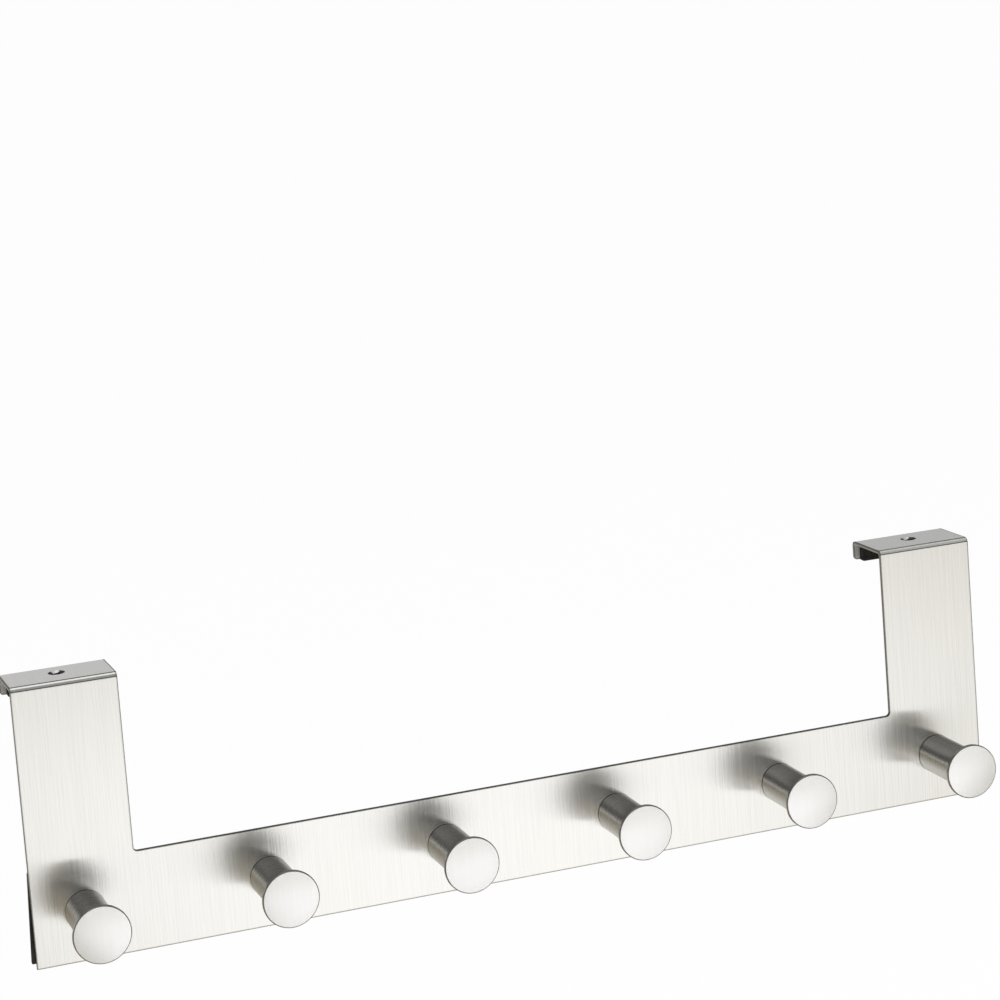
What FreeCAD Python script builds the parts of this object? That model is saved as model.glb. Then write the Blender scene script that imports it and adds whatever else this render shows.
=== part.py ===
import FreeCAD, Part
import os
import re

import Sketcher

# Over door hook rack: one folded sheet of stainless steel with six turned pegs.
# The front faces -Y, X runs along the width and Z is up. The origin lies midway between the two
# holes in the folded-over webs, on the plane of their undersides, where the rack sits on a door.

Vector = FreeCAD.Vector
QUARTER_TURN = 90
AXIS_FRONTWARD = FreeCAD.Rotation(Vector(1, 0, 0), QUARTER_TURN)  # turns a piece's own Z to the front

SIZES = [
    ("rail_width", "380", "width of the folded sheet from end to end"),
    ("rail_height", "103", "top of the webs to the bottom edge"),
    ("arm_width", "38.5", "width of each upright arm, its web and its lip"),
    ("bar_height", "37", "height of the bar that joins the arms"),
    ("hook_depth", "24", "outside depth of the fold over the door"),
    ("hole_setback", "13.2", "front of the rack to the middle of the web holes"),
    ("sheet_thickness", "1.2", "thickness of the sheet"),
    ("bend_radius", "0.8", "inside radius of both folds"),
    ("lip_height", "7.5", "top of the web to the end of the rear lip"),
    ("lip_corner", "1.2", "radius of the lower corners of the rear lip"),
    ("gap_corner", "1.5", "radius of the corners of the gap between the arms"),
    ("web_hole", "4.6", "fixing hole in each web, across"),
    ("web_hole_bevel", "0.8", "bevel round the top of the fixing hole"),
    ("peg_count", "6", "pegs along the bar"),
    ("peg_length", "30", "front of the bar to the top of the domed head"),
    ("stem_diameter", "15", "straight stem of the peg"),
    ("stem_bevel", "0.4", "bevel round the foot of the stem"),
    ("head_diameter", "21", "rim of the peg's head"),
    ("head_rim", "1.3", "thickness of the head's rim"),
    ("head_edge", "0.4", "rounding between the rim and the domed face"),
    ("head_flare", "4.6", "length of the flare from stem to rim"),
    ("head_dome", "0.7", "rise of the domed face above the rim"),
    ("screw_diameter", "4", "thread of the peg screw, outside"),
    ("screw_length", "8", "peg screw under its head"),
    ("screw_tip", "0.5", "bevel at the end of the peg screw"),
    ("pan_diameter", "7.6", "pan head of the peg screw"),
    ("pan_height", "1.6", "height of the pan head"),
    ("pan_corner", "0.8", "rounding of the pan head"),
    ("recess_length", "4.2", "cross recess from tip to tip"),
    ("recess_width", "0.9", "one slot of the cross recess"),
    ("recess_depth", "1", "depth of the cross recess"),
    ("screw_hole_room", "0.2", "room round the screw in the sheet"),
    ("thread_room", "0.05", "room round the screw in the peg"),
    ("bore_room", "2", "peg bore beyond the end of the screw"),
    ("drill_cone", "1.2", "cone at the end of the peg bore"),
    ("pad_thickness", "3", "foam pad on the lip"),
    ("pad_inset", "2.3", "foam pad from each side of the lip"),
    ("pad_drop", "0.4", "foam pad below the end of the lip"),
    ("pad_corner", "0.6", "radius of the corners of the foam pad"),
    ("strip_thickness", "2", "foam strip on the back of the bar"),
    ("strip_margin", "1.9", "foam strip from the edges of the bar"),
    ("strip_short", "0.5", "foam strip short of the right end of the bar"),
    ("strip_overhang", "1.4", "low corner of the strip's askew left end, past the bar"),
    ("strip_hole_room", "0.9", "room round each screw head in the foam"),
]

# Places that several pieces share, worked out from the sizes above.
PLACES = [
    ("peg_span", "=rail_width - arm_width", "first peg to last peg, and web hole to web hole"),
    ("front_face", "=-hole_setback", "Y of the front of the bar"),
    ("back_face", "=sheet_thickness - hole_setback", "Y of the back of the bar"),
    ("rear_face", "=hook_depth - hole_setback", "Y of the back of the lip"),
    ("lip_face", "=hook_depth - hole_setback - sheet_thickness", "Y of the front of the lip"),
    ("bottom_edge", "=sheet_thickness - rail_height", "Z of the lower edge of the bar"),
    ("peg_level", "=sheet_thickness - rail_height + bar_height / 2", "Z of the pegs"),
    ("lip_end", "=sheet_thickness - lip_height", "Z of the end of the lip"),
    ("outer_bend", "=bend_radius + sheet_thickness", "outside radius of both folds"),
]

doc = FreeCAD.newDocument("over_door_hook")
sheet = doc.addObject("Spreadsheet::Sheet", "sizes")
for row, (alias, value, note) in enumerate(SIZES + PLACES, start=1):
    sheet.set(f"A{row}", note)
    sheet.set(f"B{row}", value)
    sheet.setAlias(f"B{row}", alias)
doc.recompute()


# Formulas, sketches and features that the pieces share

def tied(formula):
    """The formula with every size in it read from the spreadsheet."""
    return re.sub(r"[a-z]+(_[a-z]+)*", lambda word: f"sizes.{word.group()}", str(formula))


def number(formula):
    """What the formula comes to with the spreadsheet's present values."""
    return float(sheet.evalExpression(str(formula)))


def place(body, across, depth, height, turn=FreeCAD.Rotation()):
    """Puts a body at three formulas, turned as given."""
    body.Placement = FreeCAD.Placement(Vector(), turn)
    for axis, formula in zip("xyz", (across, depth, height)):
        body.setExpression(f"Placement.Base.{axis}", tied(formula))


def add_body(label):
    body = doc.addObject("PartDesign::Body", label)
    body.Label = label
    return body


def add_sketch(body, name, role, offset=0):
    """Sketch on one of the body's own origin planes, moved along its normal by a formula."""
    sketch = body.newObject("Sketcher::SketchObject", name)
    origin_plane = next(plane for plane in body.Origin.OriginFeatures if plane.Role == role)
    sketch.AttachmentSupport = [(origin_plane, "")]
    sketch.MapMode = "FlatFace"
    sketch.setExpression("AttachmentOffset.Base.z", tied(offset))
    return sketch


def dimension(sketch, kind, references, formula):
    """One dimension of a sketch, which follows its formula."""
    index = sketch.addConstraint(Sketcher.Constraint(kind, *references, number(formula)))
    name = f"{kind.lower()}_{index}"
    sketch.renameConstraint(index, name)
    sketch.setExpression(f"Constraints.{name}", tied(formula))


def pin(sketch, index, end, across, up):
    """Holds one end of an edge, or its centre, at two formulas from the sketch's origin."""
    dimension(sketch, "DistanceX", (-1, 1, index, end), across)
    dimension(sketch, "DistanceY", (-1, 1, index, end), up)


def add_circle(sketch, across, up, diameter):
    centre = Vector(number(across), number(up), 0)
    index = sketch.addGeometry(Part.Circle(centre, Vector(0, 0, 1), number(diameter) / 2))
    pin(sketch, index, 3, across, up)
    dimension(sketch, "Diameter", (index,), diameter)


def add_arc(sketch, start, end, kind, formula):
    """Arc of less than half a turn between two points. Its centre's X or Y follows the formula, and
    the other one follows from both ends being as far from it. Gives back the arc and its two ends."""
    middle = (start + end) / 2
    chord = end - start
    centre = Vector(number(formula), number(formula), 0)
    if kind == "DistanceX":
        centre.y = middle.y - (centre.x - middle.x) * chord.x / chord.y
    else:
        centre.x = middle.x - (centre.y - middle.y) * chord.y / chord.x
    leftward = (start - centre).cross(end - centre).z > 0
    first, last = (start, end) if leftward else (end, start)
    upward = Vector(0, 0, 1)
    circle = Part.Circle(centre, upward, (start - centre).Length)
    arc = Part.ArcOfCircle(circle, circle.parameter(first), circle.parameter(last))
    index = sketch.addGeometry(arc)
    dimension(sketch, kind, (-1, 1, index, 3), formula)
    return (index, 1, 2) if leftward else (index, 2, 1)


def add_outline(sketch, corners, arcs=None):
    """Closed outline through corners, each placed by two formulas. The side after each corner is
    straight, or the arc named for it: a centre whose X or Y follows a formula."""
    arcs = arcs or {}
    points = [Vector(number(across), number(up), 0) for across, up in corners]
    sides = []
    for corner, (start, end) in enumerate(zip(points, points[1:] + points[:1])):
        if corner in arcs:
            sides.append(add_arc(sketch, start, end, *arcs[corner]))
        else:
            sides.append((sketch.addGeometry(Part.LineSegment(start, end)), 1, 2))
    for corner, (across, up) in enumerate(corners):
        index, first, _ = sides[corner]
        before, _, last = sides[corner - 1]
        sketch.addConstraint(Sketcher.Constraint("Coincident", before, last, index, first))
        pin(sketch, index, first, across, up)


def add_pad(body, sketch, name, length, backward=False, both_ways=False):
    pad = body.newObject("PartDesign::Pad", name)
    pad.Profile = sketch
    pad.Reversed = backward
    pad.SideType = "Symmetric" if both_ways else "One side"
    pad.setExpression("Length", tied(length))
    doc.recompute()
    return pad


def add_pocket(body, sketch, name, depth=None, backward=False):
    """Cuts the sketch out to a depth, or right through both ways, and makes sure that it cut."""
    volume_before = body.Shape.Volume
    pocket = body.newObject("PartDesign::Pocket", name)
    pocket.Profile = sketch
    pocket.Reversed = backward
    if depth is None:
        pocket.Type = "ThroughAll"
        pocket.SideType = "Symmetric"
    else:
        pocket.setExpression("Length", tied(depth))
    doc.recompute()
    if pocket.Shape.Volume >= volume_before:
        raise RuntimeError(f"{name} cuts nothing")
    return pocket


def add_row(body, pocket, name, length, count):
    """Repeats a cut along the level axis of its sketch, from the first place to the last."""
    pattern = body.newObject("PartDesign::LinearPattern", name)
    pattern.Originals = [pocket]
    pattern.Direction = (pocket.Profile[0], ["H_Axis"])
    pattern.setExpression("Length", tied(length))
    pattern.setExpression("Occurrences", tied(count))
    body.Tip = pattern
    doc.recompute()
    return pattern


def add_revolution(body, sketch, name):
    """Turns a half profile once round the upright axis of its sketch."""
    turned = body.newObject("PartDesign::Revolution", name)
    turned.Profile = sketch
    turned.ReferenceAxis = (sketch, ["V_Axis"])
    turned.Angle = 4 * QUARTER_TURN
    doc.recompute()
    return turned


# Rail: a sheet folded twice over the door, with the gap between the arms cut out

def fold_profile(sketch):
    """Section of the folded sheet, seen from the right: front panel, web and rear lip."""
    panel_top = "sheet_thickness - outer_bend"
    corners = [
        ("front_face", "bottom_edge"),
        ("front_face", panel_top),
        ("front_face + outer_bend", "sheet_thickness"),
        ("rear_face - outer_bend", "sheet_thickness"),
        ("rear_face", panel_top),
        ("rear_face", "lip_end"),
        ("lip_face", "lip_end"),
        ("lip_face", "-bend_radius"),
        ("lip_face - bend_radius", "0"),
        ("back_face + bend_radius", "0"),
        ("back_face", "-bend_radius"),
        ("back_face", "bottom_edge"),
    ]
    bends = {
        1: ("DistanceY", panel_top),
        3: ("DistanceY", panel_top),
        7: ("DistanceY", "-bend_radius"),
        9: ("DistanceY", "-bend_radius"),
    }
    add_outline(sketch, corners, bends)


def gap_outline(sketch):
    """The gap between the arms, open at the top, with a small radius in both lower corners."""
    side = "(rail_width / 2 - arm_width)"
    floor = "(bottom_edge + bar_height)"
    corners = [
        (f"-{side}", "sheet_thickness + gap_corner"),
        (f"-{side}", f"{floor} + gap_corner"),
        (f"gap_corner - {side}", floor),
        (f"{side} - gap_corner", floor),
        (side, f"{floor} + gap_corner"),
        (side, "sheet_thickness + gap_corner"),
    ]
    rounds = {
        1: ("DistanceY", f"{floor} + gap_corner"),
        3: ("DistanceY", f"{floor} + gap_corner"),
    }
    add_outline(sketch, corners, rounds)


def round_lip_corners(body, folded):
    """Rounds the lower corners of both lips: the short edges through the sheet at the lip's end."""
    middle_height = number("lip_end")
    middle_depth = number("lip_face + sheet_thickness / 2")
    same_place = 1e-4
    chosen = []
    for count, edge in enumerate(folded.Shape.Edges, start=1):
        middle = edge.CenterOfMass
        if abs(middle.z - middle_height) < same_place and abs(middle.y - middle_depth) < same_place:
            chosen.append(f"Edge{count}")
    rounded = body.newObject("PartDesign::Fillet", "lip_rounds")
    rounded.Base = (folded, chosen)
    rounded.setExpression("Radius", tied("lip_corner"))
    doc.recompute()
    return rounded


def add_web_holes(body):
    """One fixing hole in each web, bevelled at 45 degrees round its top."""
    sketch = add_sketch(body, "web_hole_centres", "XY_Plane", "sheet_thickness")
    for side in ("-", ""):
        add_circle(sketch, f"{side}peg_span / 2", 0, "web_hole")
    doc.recompute()
    hole = body.newObject("PartDesign::Hole", "web_holes")
    hole.Profile = sketch
    hole.DepthType = "ThroughAll"
    hole.HoleCutType = "Countersink"
    hole.HoleCutCustomValues = True
    hole.setExpression("Diameter", tied("web_hole"))
    hole.setExpression("HoleCutDiameter", tied("web_hole + 2 * web_hole_bevel"))
    hole.HoleCutCountersinkAngle = QUARTER_TURN
    doc.recompute()
    return hole


def make_rail():
    body = add_body("hook_rail")
    profile = add_sketch(body, "fold_profile", "YZ_Plane")
    fold_profile(profile)
    add_pad(body, profile, "folded_sheet", "rail_width", both_ways=True)
    gap = add_sketch(body, "gap_outline", "XZ_Plane")
    gap_outline(gap)
    folded = add_pocket(body, gap, "arm_gap")
    round_lip_corners(body, folded)
    add_web_holes(body)
    first_hole = add_sketch(body, "first_screw_hole", "XZ_Plane", "-back_face")
    add_circle(first_hole, "-peg_span / 2", "peg_level", "screw_diameter + 2 * screw_hole_room")
    drilled = add_pocket(body, first_hole, "screw_hole", "sheet_thickness", backward=True)
    add_row(body, drilled, "screw_holes", "peg_span", "peg_count")
    return body


# Pegs: turned from bar, each with a blind tapped bore in its foot

def peg_profile(sketch):
    """Half section of a peg: foot, straight stem, hollow flare, thin rounded rim and domed face."""
    stem = "stem_diameter / 2"
    head = "head_diameter / 2"
    bore = "(screw_diameter / 2 + thread_room)"
    bore_end = "(screw_length - sheet_thickness + bore_room)"
    rim_front = "(peg_length - head_dome)"
    flare_start = f"{rim_front} - head_rim - head_flare"
    corners = [
        (bore, 0),
        (f"{stem} - stem_bevel", 0),
        (stem, "stem_bevel"),
        (stem, flare_start),
        (head, f"{rim_front} - head_rim"),
        (head, f"{rim_front} - head_edge"),
        (f"{head} - head_edge", rim_front),
        (0, "peg_length"),
        (0, f"{bore_end} + drill_cone"),
        (bore, bore_end),
    ]
    curves = {
        3: ("DistanceY", flare_start),
        5: ("DistanceX", f"{head} - head_edge"),
        6: ("DistanceX", 0),
    }
    add_outline(sketch, corners, curves)


def make_peg(label, across):
    body = add_body(label)
    profile = add_sketch(body, "half_profile", "XZ_Plane")
    peg_profile(profile)
    add_revolution(body, profile, "turned")
    place(body, across, "front_face", "peg_level", AXIS_FRONTWARD)
    return body


# Peg screws: pan heads behind the bar, shanks through the sheet into the pegs

def screw_profile(sketch):
    """Half section of a screw: pan head below the origin's level, shank above it."""
    shank = "screw_diameter / 2"
    pan = "pan_diameter / 2"
    corners = [
        (0, "-pan_height"),
        (f"{pan} - pan_corner", "-pan_height"),
        (pan, "pan_corner - pan_height"),
        (pan, 0),
        (shank, 0),
        (shank, "screw_length - screw_tip"),
        (f"{shank} - screw_tip", "screw_length"),
        (0, "screw_length"),
    ]
    add_outline(sketch, corners, {1: ("DistanceY", "pan_corner - pan_height")})


def cut_cross_recess(body):
    """Two crossed slots in the pan head: one is cut, and a quarter turn makes the other."""
    slot = add_sketch(body, "recess_slot", "XY_Plane", "-pan_height")
    half_length = "recess_length / 2"
    half_width = "recess_width / 2"
    corners = [
        (f"-{half_length}", f"-{half_width}"),
        (half_length, f"-{half_width}"),
        (half_length, half_width),
        (f"-{half_length}", half_width),
    ]
    add_outline(slot, corners)
    first = add_pocket(body, slot, "recess_first", "recess_depth", backward=True)
    cross = body.newObject("PartDesign::PolarPattern", "recess_cross")
    cross.Originals = [first]
    cross.Axis = (slot, ["N_Axis"])
    cross.Angle = QUARTER_TURN
    cross.Occurrences = 2
    body.Tip = cross
    doc.recompute()


def make_screw(label, across):
    body = add_body(label)
    profile = add_sketch(body, "half_profile", "XZ_Plane")
    screw_profile(profile)
    add_revolution(body, profile, "turned")
    cut_cross_recess(body)
    place(body, across, "back_face", "peg_level", AXIS_FRONTWARD)
    return body


# Foam: a pad on the front of each lip, and a strip on the back of the bar

def pad_outline(sketch):
    """Rounded rectangle, centred across: from the fold down to just below the end of the lip."""
    side = "(arm_width / 2 - pad_inset)"
    top = "(-bend_radius)"
    foot = "(lip_end - pad_drop)"
    corners = [
        (f"-{side}", f"{foot} + pad_corner"),
        (f"pad_corner - {side}", foot),
        (f"{side} - pad_corner", foot),
        (side, f"{foot} + pad_corner"),
        (side, f"{top} - pad_corner"),
        (f"{side} - pad_corner", top),
        (f"pad_corner - {side}", top),
        (f"-{side}", f"{top} - pad_corner"),
    ]
    low = ("DistanceY", f"{foot} + pad_corner")
    high = ("DistanceY", f"{top} - pad_corner")
    add_outline(sketch, corners, {0: low, 2: low, 4: high, 6: high})


def make_lip_pad(label, across):
    body = add_body(label)
    outline = add_sketch(body, "pad_outline", "XZ_Plane")
    pad_outline(outline)
    add_pad(body, outline, "foam", "pad_thickness")
    place(body, across, "lip_face", 0)
    return body


def make_bar_strip():
    """Foam strip, cut a little askew at its left end, with a round hole over each screw head."""
    body = add_body("bar_strip")
    outline = add_sketch(body, "strip_outline", "XZ_Plane", "-back_face")
    left = "-rail_width / 2"
    right = "rail_width / 2 - strip_short"
    low = "bottom_edge + strip_margin"
    high = "bottom_edge + bar_height - strip_margin"
    corners = [(f"{left} - strip_overhang", low), (right, low), (right, high), (left, high)]
    add_outline(outline, corners)
    add_pad(body, outline, "foam", "strip_thickness", backward=True)
    first_hole = add_sketch(body, "first_head_hole", "XZ_Plane", "-back_face")
    add_circle(first_hole, "-peg_span / 2", "peg_level", "pan_diameter + 2 * strip_hole_room")
    punched = add_pocket(body, first_hole, "head_hole")
    add_row(body, punched, "head_holes", "peg_span", "peg_count")
    return body


# The whole rack

pieces = [make_rail(), make_bar_strip()]
for along in range(int(number("peg_count"))):
    across = f"{along} * peg_span / (peg_count - 1) - peg_span / 2"
    pieces.append(make_peg(f"peg_{along + 1}", across))
    pieces.append(make_screw(f"peg_screw_{along + 1}", across))
pieces.append(make_lip_pad("lip_pad_left", "-peg_span / 2"))
pieces.append(make_lip_pad("lip_pad_right", "peg_span / 2"))
doc.recompute()

for item in doc.Objects:
    if "Invalid" in item.State or "Error" in item.State:
        raise RuntimeError(f"{item.Label} is not sound: {item.State}")
for piece in pieces:
    if piece.Shape.isNull() or not piece.Shape.isValid():
        raise RuntimeError(f"{piece.Label} has no valid shape")

os.makedirs("parts", exist_ok=True)
for piece in pieces:
    piece.Shape.exportStep(f"parts/{piece.Label}.step")
    box = piece.Shape.BoundBox
    print(piece.Label, len(piece.Shape.Solids), round(piece.Shape.Volume, 2), box)
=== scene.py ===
import math

import bpy
import numpy as np
from mathutils import Matrix, Vector


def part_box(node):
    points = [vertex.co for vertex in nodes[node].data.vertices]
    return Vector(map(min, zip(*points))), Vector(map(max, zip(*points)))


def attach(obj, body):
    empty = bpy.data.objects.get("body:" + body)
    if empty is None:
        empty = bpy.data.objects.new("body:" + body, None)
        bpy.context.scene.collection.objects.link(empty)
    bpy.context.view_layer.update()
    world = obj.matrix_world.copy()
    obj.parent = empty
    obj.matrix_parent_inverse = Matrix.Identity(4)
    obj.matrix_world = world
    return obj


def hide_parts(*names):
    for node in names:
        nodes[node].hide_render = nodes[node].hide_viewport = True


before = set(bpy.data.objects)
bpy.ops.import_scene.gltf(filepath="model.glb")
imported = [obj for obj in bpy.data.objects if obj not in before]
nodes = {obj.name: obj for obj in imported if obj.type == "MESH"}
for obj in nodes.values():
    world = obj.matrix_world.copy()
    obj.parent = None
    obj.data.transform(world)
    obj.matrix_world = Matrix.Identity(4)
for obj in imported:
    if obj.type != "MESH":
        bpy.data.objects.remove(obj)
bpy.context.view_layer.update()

# Camera. It stands to the left of the rack and above it, about a metre away, with a long lens,
# and is turned a little on its own axis, so that the bar climbs to the right. The picture was
# taken nearly level and trimmed to its lower part, which the small shift stands for.
camera_place = (-0.34030, -1.00764, 0.25165)
camera_lens, camera_sensor = 103.676, 36
camera_shift = -0.2
camera_yaw, camera_tilt, camera_roll = -0.33252, 1.44389, -0.07658

camera = bpy.data.objects.new("camera", bpy.data.cameras.new("camera"))
camera.data.lens = camera_lens
camera.data.sensor_width = camera_sensor
camera.data.shift_y = camera_shift
camera.data.dof.use_dof = False
camera.matrix_world = (
    Matrix.Translation(camera_place)
    @ Matrix.Rotation(camera_yaw, 4, "Z")
    @ Matrix.Rotation(camera_tilt, 4, "X")
    @ Matrix.Rotation(camera_roll, 4, "Z")
)
bpy.context.scene.collection.objects.link(camera)
bpy.context.scene.camera = camera
bpy.context.scene.view_settings.view_transform = "Standard"


# Studio. A wide pale floor well below the rack, one broad soft lamp overhead, and a dim room
# above the horizon. The floor is white to the eye. In the metal it shows a painted pool of light:
# white only in a lane that runs to the front and a little to the right, a lighter grey behind the
# rack, and painted shade, beige, beside them, as under a lamp from there.
floor_height = -0.35
floor_reach, floor_lines = 60.0, 9
floor_white = (0.92, 0.92, 0.915, 1)
painted_floor_shade = (0.32, 0.28, 0.21, 1)
plain_white = (1, 1, 1, 1)
floor_glow = 0.97

# The lane is a little over white, for what the brushed sheet mirrors from beside it. Its two
# sides are slopes x / -y, with -y at least lane_nearest, which keeps them finite under the rack.
# Its start and its fading are distances in front of the rack.
painted_lane_light = (1.06, 1.06, 1.06, 1)
lane_left, lane_right = (-0.42, -0.08), (1.35, 0.5)
lane_nearest = 0.3
lane_start = (0.15, 0.45)
lane_fading, lane_faded = (0.9, 1.7), 0.66
back_start, back_light = (0.5, 1.0), 0.6
lamp_place = (0.45, -0.75, 1.25)
lamp_side, lamp_power = 1.3, 30.0


class Shader:
    """The tree of nodes of one material, or of the room. A number, a colour, another node's output or
    another node, which stands for its first output, can be fed to a socket."""

    def __init__(self, owner):
        owner.use_nodes = True
        self.tree = owner.node_tree
        self.tree.nodes.clear()

    def feed(self, socket, value):
        """Joins an output to the socket, or sets the socket's own value."""
        if isinstance(value, bpy.types.Node):
            value = value.outputs[0]
        if isinstance(value, bpy.types.NodeSocket):
            self.tree.links.new(value, socket)
        else:
            socket.default_value = value

    def add(self, kind, **settings):
        """A node. A setting is one of its properties, or else the name of one of its sockets."""
        node = self.tree.nodes.new("ShaderNode" + kind)
        for key, value in settings.items():
            if hasattr(node, key):
                setattr(node, key, value)
            else:
                self.feed(node.inputs[key.replace("_", " ")], value)
        return node

    def place(self):
        """The place on the object, in metres."""
        return self.add("TexCoord").outputs["Object"]

    def parts(self, vector):
        """The X, Y and Z of a vector."""
        return self.add("SeparateXYZ", Vector=vector).outputs

    def length(self, **parts):
        """The length of the vector that has these parts."""
        vector = self.add("CombineXYZ", **parts)
        return self.add("VectorMath", operation="LENGTH", Vector=vector).outputs["Value"]

    def calculate(self, operation, first, *others):
        """A sum on numbers, carried on from left to right where there are more than two."""
        for other in others or (0.0,):
            node = self.add("Math", operation=operation)
            self.feed(node.inputs[0], first)
            self.feed(node.inputs[1], other)
            first = node.outputs[0]
        return first

    def even_step(self, value, limits, results=(0.0, 1.0), kind="LINEAR"):
        """Runs from the first result to the second while the value runs between its limits."""
        return self.add("MapRange", interpolation_type=kind, Value=value,
                        From_Min=limits[0], From_Max=limits[1],
                        To_Min=results[0], To_Max=results[1]).outputs[0]

    def soft_step(self, value, limits, results=(0.0, 1.0)):
        """The same, starting and ending gently: 3t^2 - 2t^3 of the way at a share t."""
        return self.even_step(value, limits, results, "SMOOTHSTEP")

    def blend(self, share, first, second):
        """A colour between two: (1 - share) x first + share x second."""
        node = self.add("Mix", data_type="RGBA")
        for socket, value in zip((node.inputs[0], node.inputs[6], node.inputs[7]), (share, first, second)):
            self.feed(socket, value)
        return node.outputs[2]

    def layer(self, share, below, above):
        """One finish over another, which hides it by the share."""
        node = self.add("MixShader")
        for socket, value in zip(node.inputs, (share, below, above)):
            self.feed(socket, value)
        return node

    def show(self, surface, where="OutputMaterial"):
        """Makes this finish the visible one."""
        self.add(where, Surface=surface)


def grid_faces(rows, columns, closed_rows, closed_columns):
    """Quads of a grid of points numbered row by row: each joins a point to the next along both ways."""
    row = np.arange(rows if closed_rows else rows - 1)[:, None]
    column = np.arange(columns if closed_columns else columns - 1)[None, :]
    next_row, next_column = (row + 1) % rows, (column + 1) % columns
    corners = [row * columns + column, row * columns + next_column,
               next_row * columns + next_column, next_row * columns + column]
    quads = [np.broadcast_to(corner, (row.size, column.size)) for corner in corners]
    return np.stack(quads, -1).reshape(-1, 4)


def mesh_object(name, points, faces):
    """A mesh object at the origin, from an array of points and a list of faces."""
    mesh = bpy.data.meshes.new(name)
    mesh.from_pydata(np.asarray(points).tolist(), [], [list(map(int, face)) for face in faces])
    mesh.validate()
    mesh.update()
    made = bpy.data.objects.new(name, mesh)
    bpy.context.scene.collection.objects.link(made)
    return made


floor_steps = np.linspace(-floor_reach, floor_reach, floor_lines)
floor_x, floor_y = np.meshgrid(floor_steps, floor_steps)
floor_points = np.stack([floor_x, floor_y, np.full_like(floor_x, floor_height)], -1).reshape(-1, 3)
floor = mesh_object("floor", floor_points, grid_faces(floor_lines, floor_lines, False, False))

floor_paper = bpy.data.materials.new("floor_paper")
shader = Shader(floor_paper)
spot = shader.parts(shader.place())
to_front = shader.calculate("MULTIPLY", spot["Y"], -1.0)
slope = shader.calculate("DIVIDE", spot["X"], shader.calculate("MAXIMUM", to_front, lane_nearest))
lane = shader.calculate(
    "MULTIPLY",
    shader.soft_step(slope, lane_left),
    shader.soft_step(slope, lane_right),
    shader.soft_step(to_front, lane_start),
    shader.soft_step(to_front, lane_fading, (1.0, lane_faded)),
)
behind_rack = shader.soft_step(spot["Y"], back_start, (0.0, back_light))
# Painted light: to glossy rays the floor shows a painted pool of light in the lane, lighter floor behind the
# rack, and painted shade, beige, everywhere else.
mirrored_floor = shader.blend(shader.calculate("MAXIMUM", lane, behind_rack), painted_floor_shade, painted_lane_light)
ray = shader.add("LightPath").outputs
floor_light = shader.blend(ray["Is Glossy Ray"], plain_white, mirrored_floor)
glow = shader.add("Emission", Color=floor_light, Strength=1.0)
paper = shader.add("BsdfDiffuse", Color=floor_white)
seen = shader.calculate("MAXIMUM", ray["Is Camera Ray"], ray["Is Glossy Ray"], ray["Is Transmission Ray"])
shader.show(shader.layer(shader.calculate("MULTIPLY", seen, floor_glow), paper, glow))
floor.data.materials.append(floor_paper)

lamp = bpy.data.objects.new("overhead_lamp", bpy.data.lights.new("overhead_lamp", "AREA"))
lamp.data.shape = "SQUARE"
lamp.data.size = lamp_side
lamp.data.energy = lamp_power
lamp.location = lamp_place
lamp.visible_glossy = False
bpy.context.scene.collection.objects.link(lamp)

# The room is a gradient by height above the horizon: dark in the middle of the front, where the
# photographer stands, lighter to both sides of that, and lighter still at the back. Each stop is
# a height, as the sine of the elevation, and a grey.
front_room = [(0.0, 1.0), (0.05, 0.75), (0.13, 0.04), (0.36, 0.05), (0.52, 0.20), (0.92, 0.24), (0.98, 0.95)]
side_room = [(0.0, 1.0), (0.05, 0.75), (0.13, 0.09), (0.32, 0.09), (0.46, 0.46), (0.84, 0.50), (0.94, 0.80)]
back_room = [(0.0, 1.0), (0.12, 0.58), (0.26, 0.53), (0.38, 0.14), (0.82, 0.12), (0.93, 0.90), (0.98, 0.95)]
front_middle = 0.1
turn_to_side, turn_to_back = (0.15, 0.38), (-0.25, 0.25)

room = bpy.data.worlds.new("room")
bpy.context.scene.world = room
shader = Shader(room)
way = shader.parts(shader.add("TexCoord").outputs["Generated"])


def room_ramp(stops):
    """A grey gradient over the height of a direction. Stops are added until there are enough, and
    then take their places."""
    ramp = shader.add("ValToRGB", Fac=way["Z"])
    ramp.color_ramp.interpolation = "EASE"
    while len(ramp.color_ramp.elements) < len(stops):
        ramp.color_ramp.elements.new(0.5)
    for element, (height, grey) in zip(ramp.color_ramp.elements, stops):
        element.position = height
        element.color = (grey, grey, grey, 1)
    return ramp


from_middle = shader.calculate("ABSOLUTE", shader.calculate("SUBTRACT", way["X"], front_middle))
to_side, to_back = shader.even_step(from_middle, turn_to_side), shader.even_step(way["Y"], turn_to_back)
front = shader.blend(to_side, room_ramp(front_room), room_ramp(side_room))
whole_room = shader.blend(to_back, front, room_ramp(back_room))
shader.show(shader.add("Background", Color=whole_room), "OutputWorld")


# Rail. One stainless sheet, 1.2 mm thick, cut out and folded twice over the door. It was brushed
# before folding, so that the grain runs up the front and on over the folds. The inner side keeps the
# grey finish of the mill, the sheared edges are dull, and a band of the punched holes' walls is
# painted near-black as the shade inside them.
steel_pale, steel_cool = (0.985, 0.974, 0.932, 1), (0.975, 0.971, 0.948, 1)
cloud_scale, cloud_detail = 14.0, 2.0
grain_fine, grain_wide, wide_share = (2000, 45, 45), (600, 12, 12), 0.4
grain_detail, grain_fineness = 2.0, 0.55
grain_limits, grain_shades = (0.4, 1.0), (0.94, 1.05)
grain_roughness, grain_spread = (0.19, 0.22), 0.97
grain_strength, grain_height = 0.6, 0.00005
mill_grey, mill_light = (0.69, 0.685, 0.67, 1), (0.79, 0.785, 0.77, 1)
mill_gloss, mill_roughness = 0.5, 0.5
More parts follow.
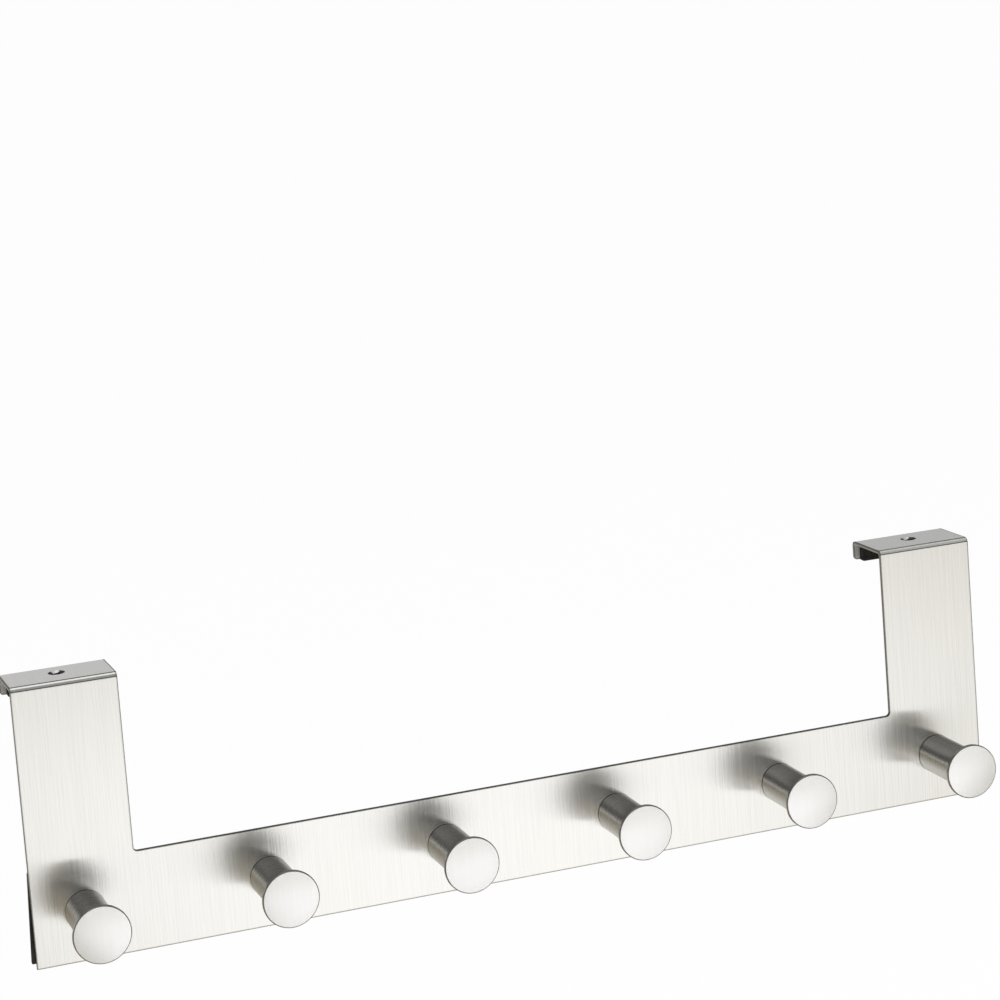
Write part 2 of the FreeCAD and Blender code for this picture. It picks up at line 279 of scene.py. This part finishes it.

# Edges. A face that looks sideways by more than sideways_lean, or up or down by more than
# level_lean below the fold, is sheared. Round it the edges turn dull between the two limits of
# each burr. Their tone is painted light and shade: pale as a painted reflection of the floor where
# they look down, dark as painted shade as they turn upwards between the limits of edge_turn.
edge_painted_dark, edge_painted_light, edge_roughness = (0.14, 0.135, 0.13, 1), (0.58, 0.55, 0.49, 1), 0.5
edge_rounding, edge_samples = 0.0009, 8
sideways_lean, level_lean = 0.3, 0.8
side_burr, level_burr = (0.05, 0.26), (0.9995, 0.97)
edge_turn = (-0.35, 0.2)

# Places on the sheet: the lower side of the folds, the walls that bound the inner side, and the
# band of the web holes' walls that is painted near-black as shade.
fold_level = -0.004
inner_front, inner_rear, inner_top = -0.01255, 0.01015, 0.0006
web_hole_x, hole_surround = 0.17075, 0.0045
hole_shade_radius, hole_shade_top, hole_shade_bottom = 0.0026, 0.00045, -0.0005
hole_shade_colour, hole_shade_roughness = (0.02, 0.02, 0.019, 1), 0.7


def stretched_noise(shader, place, stretch, detail, fineness):
    """Noise from about 0.2 to 0.8. Its spots are 1 / stretch long each way, so that they are streaks
    where one number is much smaller than another."""
    mapping = shader.add("Mapping", Vector=place, Scale=stretch)
    return shader.add("TexNoise", Vector=mapping, Scale=1.0, Detail=detail, Roughness=fineness)


def grained(shader, metal, grain, limits, shades, colour, strength, height):
    """Colour times a shade that runs between two values as the grain runs between its limits. The
    grain also raises the surface, by height x grain, which shows by its strength."""
    shade = shader.even_step(grain, limits, shades)
    tinted = shader.add("VectorMath", operation="SCALE", Vector=colour, Scale=shade)
    relief = shader.add("Bump", Height=grain, Strength=strength, Distance=height)
    shader.feed(metal.inputs["Base Color"], tinted)
    shader.feed(metal.inputs["Normal"], relief)


def brushed_sheet():
    """Reflections spread across the grain by a lobe about eight times wider than along it. Fine and
    wide streaks, long along the sheet, shade the colour, the roughness and the surface. Faces that
    look sideways, or up and down below the fold, are the sheared edges. The edges' rounding has a
    painted shade, dark, where it looks up or sideways, and a painted reflection of the floor, pale,
    where it looks down to it."""
    material = bpy.data.materials.new("brushed_sheet")
    shader = Shader(material)
    place = shader.place()
    cloud = shader.add("TexNoise", Vector=place, Scale=cloud_scale, Detail=cloud_detail)
    fine, wide = (stretched_noise(shader, place, stretch, grain_detail, grain_fineness)
                  for stretch in (grain_fine, grain_wide))
    grain = shader.calculate("ADD", fine, shader.calculate("MULTIPLY", wide, wide_share))
    brushed = shader.add("BsdfPrincipled", Metallic=1.0, Anisotropic=grain_spread,
                         Roughness=shader.even_step(grain, grain_limits, grain_roughness),
                         Tangent=shader.add("CombineXYZ", X=1.0))
    grained(shader, brushed, grain, grain_limits, grain_shades,
            shader.blend(cloud, steel_pale, steel_cool), grain_strength, grain_height)
    mill = shader.add("BsdfPrincipled", Metallic=mill_gloss, Roughness=mill_roughness,
                      Base_Color=shader.blend(cloud, mill_grey, mill_light))
    painted_hole_shade = shader.add("BsdfPrincipled", Metallic=1.0, Roughness=hole_shade_roughness, Base_Color=hole_shade_colour)

    facing = shader.add("NewGeometry").outputs["True Normal"]
    rounded = shader.add("Bevel", samples=edge_samples, Radius=edge_rounding)
    face, spot, round_face = (shader.parts(vector) for vector in (facing, place, rounded))
    along_face = shader.add("VectorMath", operation="DOT_PRODUCT")
    shader.feed(along_face.inputs[0], rounded)
    shader.feed(along_face.inputs[1], facing)

    def size_of(value):
        return shader.calculate("ABSOLUTE", value)

    def above(value, limit):
        return shader.calculate("GREATER_THAN", value, limit)

    def below(value, limit):
        return shader.calculate("LESS_THAN", value, limit)

    from_hole = shader.length(X=shader.calculate("SUBTRACT", size_of(spot["X"]), web_hole_x), Y=spot["Y"])
    below_fold = below(spot["Z"], fold_level)
    sheared = shader.calculate(
        "MAXIMUM",
        above(size_of(face["X"]), sideways_lean),
        shader.calculate("MULTIPLY", above(size_of(face["Z"]), level_lean), below_fold),
        shader.calculate("MULTIPLY", shader.soft_step(size_of(round_face["X"]), side_burr),
                         above(from_hole, hole_surround)),
        shader.calculate("MULTIPLY", below_fold,
                         shader.soft_step(along_face.outputs["Value"], level_burr)),
    )
    # Painted light and shade: the edges' tone follows which way their rounding looks, pale as a painted
    # reflection of the floor below, dark as painted shade above and to the sides.
    edge_painted_tone = shader.blend(shader.soft_step(round_face["Z"], edge_turn), edge_painted_light, edge_painted_dark)
    edge = shader.add("BsdfPrincipled", Metallic=1.0, Roughness=edge_roughness, Base_Color=edge_painted_tone)
    inside = shader.calculate("MULTIPLY", above(spot["Y"], inner_front), below(spot["Y"], inner_rear),
                              below(spot["Z"], inner_top))
    # Painted shade: a band of each web hole's wall, under the web's top, is painted near-black for the shade
    # inside the hole.
    in_hole = shader.calculate("MULTIPLY", below(from_hole, hole_shade_radius), below(spot["Z"], hole_shade_top),
                               above(spot["Z"], hole_shade_bottom))
    finish = shader.layer(inside, brushed, mill)
    finish = shader.layer(sheared, finish, edge)
    shader.show(shader.layer(in_hole, finish, painted_hole_shade))
    return material


def dress(node, material):
    """The node shows one material on its whole surface."""
    mesh = nodes[node].data
    mesh.materials.clear()
    mesh.materials.append(material)


dress("hook_rail", brushed_sheet())


# Pegs. Each is turned from stainless bar: a straight stem with a hair of bevel at its foot, a
# hollow flare, a thin rim with a rounded edge, and a slightly domed face, brushed upwards like
# the sheet. The foot has a blind bore for its screw, hidden behind the bar.
peg_count = 6
stem_radius = 0.0075
foot_bevel = 0.0004
bore_radius, bore_depth, drill_cone = 0.00205, 0.0088, 0.0012
flare_length, rim_depth, rim_edge, face_rise = 0.0046, 0.0013, 0.0004, 0.0007
turns_round = 160
stem_rings, flare_rings, rim_rings, edge_rings, dome_rings = 8, 16, 4, 7, 16
crease_angle = math.radians(24)

# Finishes of a peg, in the order of its material slots: the turned stem and rim, the face, the
# flare and the rim's edge, which are duller, and the foot's bevel, painted near-black as the shade
# of the seam against the bar.
stem_slot, face_slot, dull_slot, seam_slot = range(4)
peg_steel, peg_roughness = (0.555, 0.545, 0.515), 0.26
face_steel, face_gloss, face_roughness = (0.955, 0.95, 0.94), 0.65, 0.27
dull_steel, dull_roughness = (0.36, 0.35, 0.33), 0.45
seam_shade_colour, seam_roughness = (0.10, 0.097, 0.09), 0.5
turning_spread, along_stem, roughness_change = 0.6, 0.25, 0.03
pattern_detail, pattern_fineness = 3.0, 0.6
ring_scale, streak_scale, pattern_limits = (3500, 3500, 60), (3600, 60, 60), (0.3, 0.7)
ring_shades, ring_strength = (0.95, 1.03), 0.06
streak_shades, streak_strength = (0.975, 1.02), 0.05
tool_mark = 0.00005


def arc(start, end, centre, count):
    """Points from start to end round a centre, the short way: c + r (cos q, sin q)."""
    away_start, away_end = np.subtract(start, centre), np.subtract(end, centre)
    first = math.atan2(away_start[1], away_start[0])
    turn = (math.atan2(away_end[1], away_end[0]) - first + math.pi) % (2 * math.pi) - math.pi
    angles = first + turn * np.linspace(0, 1, count)
    return np.asarray(centre) + np.hypot(*away_start) * np.stack([np.cos(angles), np.sin(angles)], -1)


def centre_level_with(start, end, level):
    """The centre, at the given height over the foot, of the arc through two points of the profile."""
    middle, chord = np.add(start, end) / 2, np.subtract(end, start)
    return middle[0] - (level - middle[1]) * chord[1] / chord[0], level


def centre_on_axis(start, end):
    """The centre, on the peg's axis, of the arc through two points of the profile."""
    middle, chord = np.add(start, end) / 2, np.subtract(end, start)
    return 0.0, middle[1] + middle[0] * chord[0] / chord[1]


def straight(radius, start, end, count):
    """Points at one distance from the axis, at even heights over the foot, without the first."""
    return [(radius, height) for height in np.linspace(start, end, count)[1:]]


def peg_profile(length, head_radius):
    """Distance from the axis and height over the foot, from the bore round to the middle of the face,
    and the finish of each stretch of it."""
    rim_front = length - face_rise
    rim_back = rim_front - rim_depth
    flare_start = rim_back - flare_length
    edge_start, face_radius = rim_front - rim_edge, head_radius - rim_edge
    flare = (stem_radius, flare_start), (head_radius, rim_back)
    rounding = (head_radius, edge_start), (face_radius, rim_front)
    dome = (face_radius, rim_front), (0.0, length)
    stretches = [
        (dull_slot, [(bore_radius, bore_depth), (bore_radius, 0.0), (stem_radius - foot_bevel, 0.0)]),
        # The foot's bevel carries the painted shade of the seam against the bar.
        (seam_slot, [(stem_radius, foot_bevel)]),
        (stem_slot, straight(stem_radius, foot_bevel, flare_start, stem_rings)),
        (dull_slot, arc(*flare, centre_level_with(*flare, flare_start), flare_rings)[1:]),
        (stem_slot, straight(head_radius, rim_back, edge_start, rim_rings)),
        (dull_slot, arc(*rounding, (face_radius, edge_start), edge_rings)[1:]),
        (face_slot, arc(*dome, centre_on_axis(*dome), dome_rings)[1:-1]),
    ]
    points = np.concatenate([np.asarray(part) for _, part in stretches])
    finish = np.concatenate([np.full(len(part), kind) for kind, part in stretches])[1:]
    return points, finish


def turned_peg(name, node):
    """The profile carried round the axis: x = cx + r cos q, z = cz + r sin q, y = foot - height. Both
    ends close with a fan: the middle of the face and the tip of the bore."""
    low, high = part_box(node)
    profile, finish = peg_profile(high.y - low.y, (high.x - low.x) / 2)
    centre_x, centre_z = (low.x + high.x) / 2, (low.z + high.z) / 2
    angle = np.arange(turns_round) * 2 * np.pi / turns_round
    radius, height = profile[:, :1], profile[:, 1:]
    rings = [centre_x + radius * np.cos(angle),
             np.broadcast_to(high.y - height, (len(profile), turns_round)),
             centre_z + radius * np.sin(angle)]
    tips = [[centre_x, high.y - bore_depth - drill_cone, centre_z], [centre_x, low.y, centre_z]]
    points = np.concatenate([np.stack(rings, -1).reshape(-1, 3), tips])
    sides = grid_faces(len(profile), turns_round, False, True)
    here, beside = np.arange(turns_round), (np.arange(turns_round) + 1) % turns_round
    last = (len(profile) - 1) * turns_round
    bore_fan = np.stack([beside, here, np.full(turns_round, len(points) - 2)], -1)
    face_fan = np.stack([last + here, last + beside, np.full(turns_round, len(points) - 1)], -1)
    peg = mesh_object(name, points, sides.tolist() + bore_fan.tolist() + face_fan.tolist())
    slots = np.concatenate([finish, [dull_slot, face_slot]]).repeat(turns_round)
    peg.data.polygons.foreach_set("material_index", slots.astype(np.int32))
    peg.data.polygons.foreach_set("use_smooth", np.ones(len(slots), dtype=bool))
    peg.data.set_sharp_from_angle(angle=crease_angle)
    return peg, Vector((centre_x, 0, centre_z))


def turned_steel(name, centre, colour, roughness):
    """Rings of noise that follow the distance from the peg's axis and the place along it, with a lobe
    stretched across the rings, along the stem."""
    material = bpy.data.materials.new(name)
    shader = Shader(material)
    centred = shader.add("Mapping", Vector=shader.place(), Location=(-centre.x, 0, -centre.z))
    spot = shader.parts(centred)
    rings_at = shader.add("CombineXYZ", X=shader.length(X=spot["X"], Z=spot["Z"]), Y=spot["Y"],
                          Z=shader.calculate("ADD", spot["X"], spot["Z"]))
    rings = stretched_noise(shader, rings_at, ring_scale, pattern_detail, pattern_fineness)
    roughness_range = (roughness - roughness_change, roughness + roughness_change)
    steel = shader.add("BsdfPrincipled", Metallic=1.0, Anisotropic=turning_spread,
                       Anisotropic_Rotation=along_stem,
                       Roughness=shader.even_step(rings, pattern_limits, roughness_range),
                       Tangent=shader.add("Tangent", direction_type="RADIAL", axis="Y"))
    grained(shader, steel, rings, pattern_limits, ring_shades, colour, ring_strength, tool_mark)
    shader.show(steel)
    return material


def brushed_face():
    """Fine upright streaks in the colour and the surface, with a lobe spread across them."""
    material = bpy.data.materials.new("brushed_face")
    shader = Shader(material)
    streaks = stretched_noise(shader, shader.place(), streak_scale, pattern_detail, pattern_fineness)
    steel = shader.add("BsdfPrincipled", Metallic=face_gloss, Roughness=face_roughness,
                       Anisotropic=turning_spread, Tangent=shader.add("CombineXYZ", X=1.0))
    grained(shader, steel, streaks, pattern_limits, streak_shades, face_steel, streak_strength, tool_mark)
    shader.show(steel)
    return material


face_finish = brushed_face()
for count in range(1, peg_count + 1):
    peg, centre = turned_peg(f"turned_peg_{count}", f"peg_{count}")
    stem_finish = turned_steel(f"turned_steel_{count}", centre, peg_steel, peg_roughness)
    dull_finish = turned_steel(f"dull_turned_steel_{count}", centre, dull_steel, dull_roughness)
    # Painted shade: the foot's bevel is near-black, standing in for the shade in the seam against the bar.
    seam_shade_finish = turned_steel(f"foot_painted_shade_{count}", centre, seam_shade_colour, seam_roughness)
    for finish in (stem_finish, face_finish, dull_finish, seam_shade_finish):
        peg.data.materials.append(finish)
    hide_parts(f"peg_{count}")
    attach(peg, "root")


# Peg screws. Zinc-plated pan heads with a cross recess, seen only from behind, in the holes of
# the foam strip.
zinc, zinc_roughness = (0.62, 0.635, 0.65), 0.32
fleck_scale, fleck_detail, fleck_shades, fleck_strength = 1800.0, 3.0, (0.85, 1.05), 0.1

bright_zinc = bpy.data.materials.new("bright_zinc")
shader = Shader(bright_zinc)
flecks = shader.add("TexNoise", Vector=shader.place(), Scale=fleck_scale, Detail=fleck_detail)
plate = shader.add("BsdfPrincipled", Metallic=1.0, Roughness=zinc_roughness)
grained(shader, plate, flecks, pattern_limits, fleck_shades, zinc, fleck_strength, tool_mark)
shader.show(plate)
for count in range(1, peg_count + 1):
    dress(f"peg_screw_{count}", bright_zinc)


# Foam strip. Black closed-cell foam, 2 mm thick, glued along the back of the bar, with a round
# hole punched over each screw head. Its left end is cut a little askew and stands out.
strip_hole = 0.0047
strip_overhang = 0.0014
cut_rounding, rounding_steps, rounding_angle = 0.00025, 2, math.radians(50)
points_per_side, strip_rings, ring_crowding, merge_digits = 24, 10, 1.5, 7
foam_black, foam_dusty = (0.018, 0.018, 0.017, 1), (0.045, 0.044, 0.042, 1)
foam_roughness = 0.85
cell_scale, cell_strength, cell_depth = 2600.0, 0.5, 0.0001
dust_scale, dust_detail, dust_limits = 60.0, 4.0, (0.45, 0.75)

black_foam = bpy.data.materials.new("black_foam")
shader = Shader(black_foam)
place = shader.place()
cells = shader.add("TexVoronoi", Vector=place, Scale=cell_scale).outputs["Distance"]
dust = shader.add("TexNoise", Vector=place, Scale=dust_scale, Detail=dust_detail)
dust_share = shader.even_step(dust, dust_limits)
foam_relief = shader.add("Bump", Height=cells, Strength=cell_strength, Distance=cell_depth)
shader.show(shader.add("BsdfPrincipled", Roughness=foam_roughness, Normal=foam_relief,
                       Base_Color=shader.blend(dust_share, foam_black, foam_dusty)))


def middle_of(node):
    """The middle of a node's box."""
    low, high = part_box(node)
    return (low + high) / 2


def around_hole(left, right, low, high, centre):
    """Points of one cell of the strip, ring by ring: rays run from the hole's rim to the cell's
    outline, p = rim + (outline - rim) * s, with s from 0 to 1 and the rings crowded to the rim."""
    along = np.linspace(0, 1, points_per_side, endpoint=False)
    outline = np.concatenate([
        np.stack([left + (right - left) * along, np.full(points_per_side, low)], -1),
        np.stack([np.full(points_per_side, right), low + (high - low) * along], -1),
        np.stack([right + (left - right) * along, np.full(points_per_side, high)], -1),
        np.stack([np.full(points_per_side, left), high + (low - high) * along], -1),
    ])
    middle = np.array([centre.x, centre.z])
    away = outline - middle
    rim = middle + strip_hole * away / np.linalg.norm(away, axis=1, keepdims=True)
    share_out = np.linspace(0, 1, strip_rings)[:, None, None] ** ring_crowding
    return (rim + (outline - rim) * share_out).reshape(-1, 2)


strip_low, strip_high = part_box("bar_strip")
strip_left = strip_low.x + strip_overhang
hole_centres = [middle_of(f"peg_{count}") for count in range(1, peg_count + 1)]
cell_limits = [(a.x + b.x) / 2 for a, b in zip(hole_centres, hole_centres[1:])]
sides = [strip_left, *cell_limits, strip_high.x]
strip_cells = np.concatenate([
    around_hole(left, right, strip_low.z, strip_high.z, centre)
    for left, right, centre in zip(sides, sides[1:], hole_centres)
])
one_cell = grid_faces(strip_rings, 4 * points_per_side, False, True)
cell_starts = np.arange(peg_count) * strip_rings * 4 * points_per_side
strip_faces = (one_cell + cell_starts[:, None, None]).reshape(-1, 4)

# Neighbouring cells share the points of their common side, which are merged: they are the same to
# merge_digits places of a metre. The left end runs out by the overhang, the more the lower it is,
# and by less and less up to the first hole.
kept, place_of = np.unique(np.round(strip_cells, merge_digits), axis=0, return_inverse=True)
first_rim = hole_centres[0].x - strip_hole
askew = np.clip((first_rim - kept[:, 0]) / (first_rim - strip_left), 0, 1)
depth_down = (strip_high.z - kept[:, 1]) / (strip_high.z - strip_low.z)
strip_points = np.stack([kept[:, 0] - strip_overhang * askew * depth_down,
                         np.full(len(kept), strip_low.y), kept[:, 1]], -1)
strip = mesh_object("foam_strip", strip_points, place_of.reshape(-1)[strip_faces[:, ::-1]])
thickness = strip.modifiers.new("thickness", "SOLIDIFY")
thickness.thickness = strip_high.y - strip_low.y
thickness.offset = -1
rounding = strip.modifiers.new("rounding", "BEVEL")
rounding.width = cut_rounding
rounding.segments = rounding_steps
rounding.limit_method = "ANGLE"
rounding.angle_limit = rounding_angle
strip.data.materials.append(black_foam)
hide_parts("bar_strip")
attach(strip, "root")


# Lip pads. A small block of the same foam is glued to the front of each lip, to hold the rack
# tight on the door. Its lower edge hangs just below the lip.
pad_corner, corner_points = 0.0006, 5
pad_edge, edge_points = 0.0003, 4


def foam_pad(name, low, high):
    """Rounded rectangle carried from the front face to the back face over rounded edges: the ring at
    an angle q of the edge is inset by e(1 - sin q) and lies e(1 - cos q) behind its face."""
    turns = np.linspace(0, np.pi / 2, corner_points)
    corner_angles = np.concatenate([turns + quarter * np.pi / 2 for quarter in range(4)])
    way_x = np.repeat([1, -1, -1, 1], corner_points)
    way_z = np.repeat([1, 1, -1, -1], corner_points)
    middle, half = (low + high) / 2, (high - low) / 2
    edge = np.linspace(0, np.pi / 2, edge_points)
    inset, behind = pad_edge * (1 - np.sin(edge)), pad_edge * (1 - np.cos(edge))
    depth = np.concatenate([low.y + behind, high.y - behind[::-1]])
    round_size = (pad_corner - np.concatenate([inset, inset[::-1]]))[:, None]
    x = middle.x + way_x * (half.x - pad_corner) + round_size * np.cos(corner_angles)
    z = middle.z + way_z * (half.z - pad_corner) + round_size * np.sin(corner_angles)
    points = np.stack([x, np.broadcast_to(depth[:, None], x.shape), z], -1).reshape(-1, 3)
    count = len(corner_angles)
    faces = grid_faces(len(depth), count, False, True).tolist()
    faces.append(list(range(count))[::-1])
    faces.append(list(range(len(points) - count, len(points))))
    return mesh_object(name, points, faces)


for side in ("left", "right"):
    pad = foam_pad(f"foam_pad_{side}", *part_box(f"lip_pad_{side}"))
    pad.data.materials.append(black_foam)
    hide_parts(f"lip_pad_{side}")
    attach(pad, "root")
